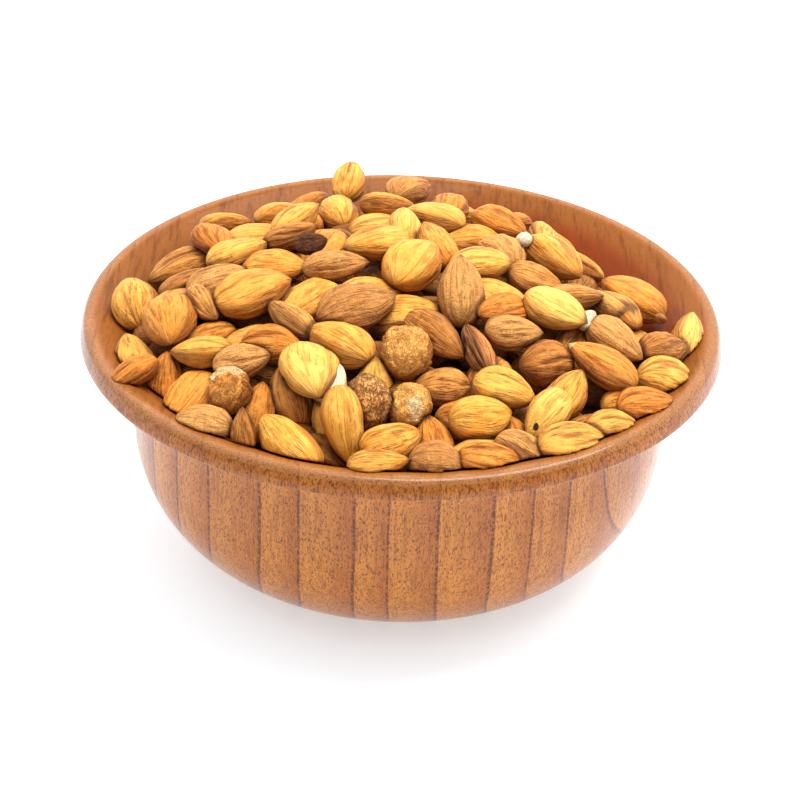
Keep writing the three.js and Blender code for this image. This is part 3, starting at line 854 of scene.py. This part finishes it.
def keep_off_wood(places, middle):
    """Draws each place that lies in the wood back towards its kernel's middle, by halving the stretch
    that holds the wood's face twelve times."""
    caught = in_wood(places)
    outer = places[caught]
    inner = np.broadcast_to(middle[:, None, :], places.shape)[caught]
    for _ in range(12):
        halfway = (outer + inner) / 2
        sunk = in_wood(halfway)[:, None]
        outer, inner = np.where(sunk, halfway, outer), np.where(sunk, inner, halfway)
    places[caught] = inner
    return places


def build_kernels(name, kernels, others, finish, steps, seed):
    """One piece of all kernels of a finish, with painted shade in the creases against the others."""
    look = {**PLAIN_SKIN, **FINISHES[finish]}
    places, marks = kernel_surface(kernels, steps, look["groove"], look["knobs"], seed)
    marks["crease_shade"] = crease_shades(places, kernels, others) * look["crease_shade"]
    quads, triangles = closed_faces(*steps, len(kernels["x"]))
    piece = make_piece(name, places, quads, triangles, marks)
    return dress(piece, "kernel_heap", skin_material(finish, look))


def build_heap():
    """The kernels on top, one piece for each finish, the lower layer and the ground under it."""
    kernels, finishes = top_kernels()
    bits = list(zip(*BITS))
    kernels = join([settle(kernels), make_kernels(*bits[:8])])
    finishes += bits[8]
    for seed, finish in enumerate(sorted(set(finishes))):
        which = [k for k, own in enumerate(finishes) if own == finish]
        build_kernels(f"kernels_{finish}", pick(kernels, which), kernels, finish, KERNEL_STEPS, seed)
    # The lower layer takes the shaded finish: painted shade.
    build_kernels("kernels_below", lower_kernels(), kernels, "shaded", LOWER_STEPS,
                  LOWER_SKIN_SEED)
    build_ground()


def build_ground():
    """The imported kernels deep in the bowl: a drum under the lower layer. Its wall follows the wood
    just inside it; its top, (r cos a, r sin a, heap top - depth + clouds), is rippled like a layer
    of kernels."""
    rings, around = DEEP_STEPS
    angle = np.arange(around) * 2 * math.pi / around
    foot, wall_top = DEEP_WALL
    wood = inside_profile(CLEARANCE + 0.3)[::-1]
    wall_z = np.linspace(FLOOR_HEIGHT + foot, wall_top, 10)[:, None]
    wall_r = np.interp(wall_z, wood[:, 1], wood[:, 0])
    wall = np.stack(np.broadcast_arrays(wall_r * np.cos(angle), wall_r * np.sin(angle), wall_z), -1)
    radius = np.linspace(DEEP_RADIUS, 2, rings)[:, None]
    x, y = radius * np.cos(angle), radius * np.sin(angle)
    ripples = 1.6 * clouds(np.stack([x, y, 0 * x], -1), 9)
    top = np.stack([x, y, heap_top(x, y) - DEEP_DEPTH + ripples], -1)
    rows = np.concatenate([wall, top])
    ends = np.array([(0, 0, FLOOR_HEIGHT + 2), (0, 0, heap_top(0.0, 0.0) - DEEP_DEPTH)])
    places = np.concatenate([ends, rows.reshape(-1, 3)])
    quads, triangles = closed_faces(len(rows), around)
    piece = make_piece("kernels_deep", places, quads, triangles)
    return dress(piece, "kernel_heap", ground_material())


# ---------------------------------------------------------------- shader helpers

def put(tree, kind, inputs=None, **settings):
    """Adds a node. Each input, by name or number, is a value or another node's output socket."""
    made = tree.nodes.new(kind)
    for name, value in settings.items():
        setattr(made, name, value)
    for socket, value in (inputs or {}).items():
        if isinstance(value, bpy.types.NodeSocket):
            tree.links.new(value, made.inputs[socket])
        else:
            made.inputs[socket].default_value = value
    return made


def maths(tree, operation, a, b=0.0, c=0.0):
    """One sum on numbers."""
    return put(tree, "ShaderNodeMath", {0: a, 1: b, 2: c}, operation=operation).outputs[0]


def times(tree, a, b):
    """a times b."""
    return maths(tree, "MULTIPLY", a, b)


def plus(tree, a, b):
    """a plus b."""
    return maths(tree, "ADD", a, b)


def minus(tree, a, b):
    """a minus b."""
    return maths(tree, "SUBTRACT", a, b)


def larger(tree, a, b):
    """The larger of a and b."""
    return maths(tree, "MAXIMUM", a, b)


def off_middle(tree, value):
    """How far a value lies from 0.5, either way."""
    return maths(tree, "ABSOLUTE", minus(tree, value, 0.5))


def ramp(tree, value, low, high, to_low=0.0, to_high=1.0):
    """A smooth step of a value from low to high."""
    inputs = {"Value": value, "From Min": low, "From Max": high, "To Min": to_low, "To Max": to_high}
    return put(tree, "ShaderNodeMapRange", inputs, interpolation_type="SMOOTHSTEP").outputs[0]


def blend(tree, share, first, second):
    """Mixes two colours, each given as red, green and blue or as an output socket."""
    inputs = {0: share}
    for socket, colour in ((6, first), (7, second)):
        inputs[socket] = colour if isinstance(colour, bpy.types.NodeSocket) else (*colour, 1)
    return put(tree, "ShaderNodeMix", inputs, data_type="RGBA").outputs[2]


def lay_over(tree, base, *coats):
    """Lays colours over a base in turn. Each coat is how much of it shows, and its colour."""
    for share, colour in coats:
        base = blend(tree, share, base, colour)
    return base


def noise(tree, place, scale, detail=2.0, rough=0.5, stretch=(1, 1, 1), own=None):
    """Cloudy noise from 0 to 1, on a place stretched first, and its own for each own number."""
    spot = put(tree, "ShaderNodeMapping", {"Vector": place, "Scale": stretch}).outputs[0]
    inputs = {"Vector": spot, "Scale": scale, "Detail": detail, "Roughness": rough}
    if own is None:
        return put(tree, "ShaderNodeTexNoise", inputs).outputs[0]
    inputs["W"] = times(tree, own, 60 / scale)
    return put(tree, "ShaderNodeTexNoise", inputs, noise_dimensions="4D").outputs[0]


def attribute(tree, name, output):
    """One of the values kept at the vertices: output "Fac" for a number, "Vector" for a place."""
    return put(tree, "ShaderNodeAttribute", attribute_name=name).outputs[output]


def new_group(name, inputs, outputs):
    """A node group with named sockets: {name: (kind, default)} in and {name: kind} out."""
    group = bpy.data.node_groups.new(name, "ShaderNodeTree")
    for socket, (kind, value) in inputs.items():
        made = group.interface.new_socket(socket, in_out="INPUT", socket_type=kind)
        made.default_value = value
    for socket, kind in outputs.items():
        group.interface.new_socket(socket, in_out="OUTPUT", socket_type=kind)
    return group, group.nodes.new("NodeGroupInput"), group.nodes.new("NodeGroupOutput")


def new_material(name, **values):
    """A material whose shader has these uniform values on its own sockets."""
    material = bpy.data.materials.new(name)
    material.use_nodes = True
    shader = material.node_tree.nodes["Principled BSDF"]
    for socket, value in values.items():
        shader.inputs[socket].default_value = value
    return material, material.node_tree, shader


# ---------------------------------------------------------------- the kernels' skins

def skin_fields(tree):
    """What a skin's colours are worked out from: the values kept at the vertices, clouds of three
    sizes, and fine streaks drawn out along the kernel."""
    fields = {name: attribute(tree, name, "Vector") for name in ("lie", "skin")}
    for name in ("groove", "tone", "spot", "crease_shade"):
        fields[name] = attribute(tree, name, "Fac")
    fields["cloud"] = noise(tree, fields["skin"], 0.22, 3, 0.6)
    fields["mottle"] = noise(tree, fields["skin"], 0.6, 3, 0.65)
    fields["speck"] = noise(tree, fields["skin"], 2.6, 2, 0.6)
    fields["fine"] = noise(tree, fields["lie"], 12, 3, 0.65, (0.25, 1, 1), fields["tone"])
    return fields


def thin_lines(tree, fields):
    """Thin broken lines along the kernel, where slow waves cross their middle."""
    waves = noise(tree, fields["lie"], 3.0, 3, 0.55, (0.16, 1, 1), fields["tone"])
    gaps = noise(tree, fields["lie"], 4, 1, 0.5, (0.6, 1, 1), fields["tone"])
    lines = ramp(tree, off_middle(tree, waves), 0.05, 0.006, 0, 0.8)
    return times(tree, lines, ramp(tree, gaps, 0.35, 0.6))


def dark_edges_and_underside_shade(tree, fields):
    """Where a kernel is darker: along its two narrow edges, partly its own browner skin and partly
    painted shade; underneath, which is painted shade; and at its tip, its own colour.
    """
    axes = put(tree, "ShaderNodeSeparateXYZ", {"Vector": fields["lie"]})
    # The narrow edges: browner skin and painted shade.
    edges = ramp(tree, maths(tree, "ABSOLUTE", axes.outputs[1]), 0.75, 1.0, 0, 0.6)
    # Painted shade underneath.
    under = ramp(tree, axes.outputs[2], 0.15, -0.5, 0, 0.6)
    tip = ramp(tree, axes.outputs[0], 0.8, 1.0, 0, 0.6)
    return larger(tree, larger(tree, edges, under), tip)


def lay_spots(tree, base, fields):
    """Bare cream patches where the spot is above 0 and dark ones where it is below, with edges that
    the clouds fray."""
    spot, speck = fields["spot"], fields["speck"]
    edge = plus(tree, spot, times(tree, minus(tree, fields["cloud"], 0.5), 0.9))
    bare = times(tree, ramp(tree, edge, 0.32, 0.4), ramp(tree, spot, 0.0, 0.05))
    dark = times(tree, ramp(tree, edge, -0.3, -0.42), ramp(tree, spot, 0.0, -0.05))
    cream = blend(tree, ramp(tree, speck, 0.35, 0.7), *CREAM_COLOURS)
    return lay_over(tree, base, (bare, cream), (dark, DARK_SPOT_COLOUR))


def skin_figure():
    """The look of a kernel's skin: broad light and dark clouds, fine streaks and thin lines along its
    length, mottling, edges darker partly with painted shade, a darker tip, painted shade underneath,
    painted shade in the creases against its neighbours, specks of dust, crust, painted shade in the
    grooves, bare cream patches and dark spots. Its height has the specks, streaks and crust."""
    if "skin_figure" in bpy.data.node_groups:
        return bpy.data.node_groups["skin_figure"]
    colour, number = "NodeSocketColor", "NodeSocketFloat"
    inputs = {"Light": (colour, (1, 1, 1, 1)), "Middle": (colour, (0.5, 0.5, 0.5, 1)),
              "Dark": (colour, (0, 0, 0, 1)), "Streaks": (number, 0.5), "Specks": (number, 0.2),
              "Crust": (number, 0), "Rough": (number, 0.5)}
    outputs = {"Color": colour, "Roughness": number, "Height": number}
    tree, given, result = new_group("skin_figure", inputs, outputs)
    light, middle, dark, streaks, specks, crust, rough = given.outputs[:7]
    fields = skin_fields(tree)
    fine, mottle, speck = fields["fine"], fields["mottle"], fields["speck"]
    broad = plus(tree, times(tree, fields["cloud"], 1.1), times(tree, fields["tone"], 0.55))
    line = thin_lines(tree, fields)
    streak = times(tree, ramp(tree, fine, 0.45, 0.85), 0.6)
    streak = times(tree, larger(tree, streak, line), streaks)
    dusk = times(tree, ramp(tree, fields["tone"], 0.0, 0.5, 0.35, 0.0),
                 ramp(tree, fields["cloud"], 0.4, 0.65))
    dark_speck = times(tree, ramp(tree, speck, 0.58, 0.72), specks)
    pale_speck = times(tree, ramp(tree, speck, 0.42, 0.3), specks)
    worms = ramp(tree, off_middle(tree, noise(tree, fields["skin"], 0.95, 3, 0.6)), 0.0, 0.09)
    crusted = times(tree, minus(tree, 1, worms), crust)
    base = lay_over(
        tree, blend(tree, ramp(tree, broad, 0.5, 1.05), middle, light),
        (streak, dark),
        (ramp(tree, fine, 0.48, 0.25, 0, 0.7), light),
        (ramp(tree, mottle, 0.5, 0.72, 0, 0.35), dark),
        (ramp(tree, mottle, 0.48, 0.28, 0, 0.5), light),
        # Darker edges and tip, with painted shade underneath.
        (dark_edges_and_underside_shade(tree, fields), dark),
        # Painted shade in the creases against the neighbours.
        (ramp(tree, fields["crease_shade"], 0.1, 1.0, 0, 0.8), CREASE_SHADE_COLOUR),
        (dusk, dark),
        (dark_speck, dark),
        (times(tree, pale_speck, 0.6), light),
        (crusted, dark),
        # Painted shade in the grooves and wrinkles.
        (times(tree, ramp(tree, fields["groove"], 0.25, 1.0), streaks), dark))
    height = minus(tree, times(tree, speck, 0.5), plus(tree, fine, line))
    height = minus(tree, height, times(tree, crusted, 2.5))
    tree.links.new(lay_spots(tree, base, fields), result.inputs["Color"])
    tree.links.new(plus(tree, rough, times(tree, streak, 0.2)), result.inputs["Roughness"])
    tree.links.new(height, result.inputs["Height"])
    return tree


def skin_material(finish, look):
    """The skin of one finish of kernel, from the values of its look."""
    material, tree, shader = new_material(f"skin_{finish}", **{"Specular IOR Level": 0.18})
    inputs = {name.capitalize(): (*look[name], 1) for name in ("light", "middle", "dark")}
    for name in ("streaks", "specks", "crust", "rough"):
        inputs[name.capitalize()] = look[name]
    figure = put(tree, "ShaderNodeGroup", inputs, node_tree=skin_figure())
    relief = {"Height": figure.outputs["Height"], "Strength": 0.8, "Distance": 0.0006}
    bump = put(tree, "ShaderNodeBump", relief)
    tree.links.new(figure.outputs["Color"], shader.inputs["Base Color"])
    tree.links.new(figure.outputs["Roughness"], shader.inputs["Roughness"])
    tree.links.new(bump.outputs["Normal"], shader.inputs["Normal"])
    return material


def ground_material():
    """The deep kernels, painted a cloudy dark brown as shade, seen only between the others."""
    dull = {"Roughness": 0.8, "Specular IOR Level": 0.1}
    material, tree, shader = new_material("skin_deep_shade", **dull)
    place = put(tree, "ShaderNodeTexCoord").outputs["Object"]
    cloud = noise(tree, place, 220, 3, 0.6)
    colour = blend(tree, ramp(tree, cloud, 0.35, 0.65), *DEEP_SHADE_COLOURS)
    tree.links.new(colour, shader.inputs["Base Color"])
    return material


# ---------------------------------------------------------------- the wood

def ring_curve(tree, distance):
    """Counts rings: the curve goes up by one ring from one dark line to the next."""
    last = len(RING_CROSSINGS) - 1
    curve = put(tree, "ShaderNodeFloatCurve")
    scaled = plus(tree, maths(tree, "DIVIDE", distance, RING_SPAN), 0.5)
    tree.links.new(scaled, curve.inputs["Value"])
    line = curve.mapping.curves[0]
    points = [(at / RING_SPAN + 0.5, k / last) for k, at in enumerate(RING_CROSSINGS)]
    for point in points[1:-1]:
        line.points.new(*point)
    line.points[0].location, line.points[-1].location = points[0], points[-1]
    for point in line.points:
        point.handle_type = "VECTOR"
    curve.mapping.update()
    return times(tree, curve.outputs[0], last)


def ring_field(tree, x, z):
    """Upright rings that face along x. Past the hook they turn back:
    x - 2 max(0, x - hook x) + w slope (z - hook z), where w fades in over the way to the hook."""
    hook_x, hook_z = HOOK_AT
    past = larger(tree, minus(tree, x, hook_x), 0)
    turned = maths(tree, "MULTIPLY_ADD", past, -2, x)
    slope = ramp(tree, x, hook_x - HOOK_FADE, hook_x, 0, HOOK_SLOPE)
    return maths(tree, "MULTIPLY_ADD", minus(tree, z, hook_z), slope, turned)


def wood_fields(tree):
    """What the wood's colours are worked out from: the place in millimetres, how far it lies from
    one ring line to the next, its ring's own number from 0 to 1, the bowl's marks, and grain."""
    place = put(tree, "ShaderNodeTexCoord").outputs["Object"]
    mm = put(tree, "ShaderNodeMapping", {"Vector": place, "Scale": (1000, 1000, 1000)}).outputs[0]
    axes = put(tree, "ShaderNodeSeparateXYZ", {"Vector": mm})
    leaned = ring_field(tree, axes.outputs[0], axes.outputs[2])
    wobble = minus(tree, noise(tree, mm, 0.05, 2, 0.5, (1, 1, 0.4)), 0.5)
    ring = ring_curve(tree, maths(tree, "MULTIPLY_ADD", wobble, 2.2, leaned))
    number = {"W": maths(tree, "FLOOR", ring)}
    own = put(tree, "ShaderNodeTexWhiteNoise", number, noise_dimensions="1D").outputs[0]
    inner = attribute(tree, "inner", "Fac")
    return {"mm": mm, "x": axes.outputs[0], "part": maths(tree, "FRACT", ring), "own": own,
            "inside": ramp(tree, inner, 0.0, 0.02), "deep": ramp(tree, inner, 0.15, 0.9),
            "lip": attribute(tree, "lip", "Fac"),
            "crest": times(tree, attribute(tree, "crest", "Fac"), 0.8),
            "grain": noise(tree, mm, 1.1, 3, 0.65, (1, 1, 0.06))}


def ring_tones(tree, wood):
    """The turned wood: each ring darkens towards its line, less so inside, and has a tone of its own;
    then the grain, and painted shade over the inside, deeper down redder at the right."""
    late = times(tree, ramp(tree, wood["part"], 0.2, 1.0),
                 maths(tree, "MULTIPLY_ADD", wood["inside"], -0.6, 1))
    deep = blend(tree, ramp(tree, wood["x"], -30, 30), WOOD["deep left"], WOOD["deep right"])
    return lay_over(
        tree, blend(tree, late, WOOD["early"], WOOD["late"]),
        (times(tree, wood["own"], 0.35), WOOD["other ring"]),
        (ramp(tree, wood["grain"], 0.4, 0.75, 0.0, 0.6), WOOD["grain"]),
        # Painted shade over the inside, and deeper down a painted shade that is redder at the right.
        (times(tree, wood["inside"], 0.85), WOOD["inside"]),
        (wood["deep"], deep))


def wood_marks(tree, wood, colour):
    """What the places on the bowl add: long threads inside, a crest greyed with painted reflection, a
    reddish lip with upright streaks, and pale flecks outside."""
    mm, inside, lip = wood["mm"], wood["inside"], wood["lip"]
    threads = noise(tree, mm, 0.8, 3, 0.6, (1, 0.08, 0.4))
    streaks = noise(tree, mm, 2.2, 2, 0.6, (1, 1, 0.1))
    flecks = noise(tree, mm, 0.35, 2, 0.5, (0.5, 0.5, 1.6))
    return lay_over(
        tree, colour,
        (times(tree, ramp(tree, threads, 0.45, 0.7, 0.0, 0.6), inside), WOOD["threads"]),
        # A painted milky reflection greys and darkens the crest.
        (wood["crest"], WOOD["crest"]),
        (times(tree, lip, 0.55), WOOD["lip"]),
        (times(tree, ramp(tree, streaks, 0.5, 0.64, 0, 0.8), lip), WOOD["lip streaks"]),
        (times(tree, ramp(tree, flecks, 0.55, 0.75, 0.0, 0.25), minus(tree, 1, inside)),
         WOOD["flecks"]))


def ring_lines(tree, wood):
    """The thin dotted line at the end of each ring, on the outside only and faint on the lip."""
    dots = noise(tree, wood["mm"], 1.7, 1, 0.5, (0.6, 1, 0.9))
    line = times(tree, ramp(tree, wood["part"], 0.91, 0.955), ramp(tree, wood["part"], 1.0, 0.985))
    line = times(tree, line, ramp(tree, dots, 0.38, 0.58, 0.2, 0.95))
    plain = larger(tree, wood["crest"], times(tree, wood["lip"], 0.85))
    return times(tree, line, minus(tree, 1, larger(tree, wood["inside"], plain)))


def wood_material():
    """Lacquered orange-brown wood: upright rings that darken towards a thin dotted line, upright
    pores, painted shade inside, a streaked lip, a crest greyed with painted reflection, and a coat
    that is glossy outside."""
    coat = {"Coat Roughness": 0.05, "Coat IOR": 1.45, "Specular IOR Level": 0.05}
    material, tree, shader = new_material("lacquered_wood", **coat)
    wood = wood_fields(tree)
    pores = noise(tree, wood["mm"], 3.0, 2, 0.65, (1, 1, 0.4))
    pore = times(tree, ramp(tree, pores, 0.5, 0.64),
                 maths(tree, "MULTIPLY_ADD", wood["inside"], -0.6, 0.85))
    colour = wood_marks(tree, wood, ring_tones(tree, wood))
    colour = lay_over(tree, colour, (pore, WOOD["pores"]), (ring_lines(tree, wood), WOOD["ring lines"]))
    bump = put(tree, "ShaderNodeBump", {"Height": pore, "Strength": 0.15, "Distance": 0.0001})
    gloss = maths(tree, "MULTIPLY_ADD", wood["inside"], -0.55, 0.65)
    tree.links.new(colour, shader.inputs["Base Color"])
    tree.links.new(ramp(tree, wood["grain"], 0.3, 0.8, 0.38, 0.5), shader.inputs["Roughness"])
    tree.links.new(gloss, shader.inputs["Coat Weight"])
    tree.links.new(bump.outputs["Normal"], shader.inputs["Normal"])
    return material


# ---------------------------------------------------------------- camera, floor and light

def build_camera():
    """The camera looks at the aim from the front, a little tilted, as in the photograph."""
    rise, roll = math.radians(ELEVATION), math.radians(TILT)
    back = np.array([0, -math.cos(rise), math.sin(rise)])
    right, up = np.array([1.0, 0, 0]), np.array([0, math.sin(rise), math.cos(rise)])
    right, up = (math.cos(roll) * right + math.sin(roll) * up,
                 math.cos(roll) * up - math.sin(roll) * right)
    data = bpy.data.cameras.new("camera")
    data.lens, data.sensor_width = LENS, SENSOR
    data.shift_x, data.shift_y = SHIFT
    data.clip_start, data.clip_end = 0.01, 20
    camera = bpy.data.objects.new("camera", data)
    place = (np.array(AIM) + DISTANCE * back) * METRES
    rows = [(*axis, at) for axis, at in zip(np.stack([right, up, back], 1), place)]
    camera.matrix_world = Matrix([*rows, (0, 0, 0, 1)])
    bpy.context.scene.collection.objects.link(camera)
    bpy.context.scene.camera = camera


def build_floor():
    """A plain white table that glows a little."""
    half = 4000
    corners = [(-half, -half, 0), (half, -half, 0), (half, half, 0), (-half, half, 0)]
    quad, no_triangles = np.array([[0, 1, 2, 3]]), np.zeros((0, 3), int)
    floor = make_piece("floor", np.array(corners, float), quad, no_triangles)
    white = {"Base Color": (0.77, 0.86, 0.93, 1), "Roughness": 0.9, "Specular IOR Level": 0.1,
             "Emission Color": (0.90, 0.97, 1, 1), "Emission Strength": 0.49}
    floor.data.materials.append(new_material("white_floor", **white)[0])


def area_light(name, place, size, power, colour=(1, 1, 1)):
    """A square soft light, turned by its pitch and yaw so that it faces the bowl."""
    data = bpy.data.lights.new(name, "AREA")
    data.shape, data.size, data.energy, data.color = "SQUARE", size, power, colour
    light = bpy.data.objects.new(name, data)
    light.location = place
    away = np.array(place) - LIGHT_AIM
    yaw, pitch = math.atan2(away[0], -away[1]), math.acos(away[2] / np.linalg.norm(away))
    light.rotation_euler = (pitch, 0, yaw)
    bpy.context.scene.collection.objects.link(light)


def build_light():
    """A white room and a soft key light high over the right of the bowl, a little behind it. The
    room's light goes from 0.52 to 1.55 as 0.12 x + y + 0.6 z of its direction goes from -0.5 to 0.9,
    so it is brightest high behind the bowl."""
    world = bpy.data.worlds.new("white_room")
    bpy.context.scene.world = world
    world.use_nodes = True
    tree = world.node_tree
    toward = put(tree, "ShaderNodeTexCoord").outputs["Generated"]
    axes = put(tree, "ShaderNodeSeparateXYZ", {"Vector": toward})
    lean = maths(tree, "MULTIPLY_ADD", axes.outputs[0], 0.12, axes.outputs[1])
    lean = maths(tree, "MULTIPLY_ADD", axes.outputs[2], 0.6, lean)
    room = ramp(tree, lean, -0.5, 0.9, 0.52, 1.55)
    tree.nodes["Background"].inputs["Color"].default_value = (1, 1, 1, 1)
    tree.links.new(room, tree.nodes["Background"].inputs["Strength"])
    area_light("key", (0.22, 0.10, 0.88), 0.6, 9.4, (1.0, 0.985, 0.96))
    bpy.context.scene.view_settings.view_transform = "Standard"


# ---------------------------------------------------------------- the whole

build_camera()
build_floor()
build_light()
build_bowl()
build_heap()
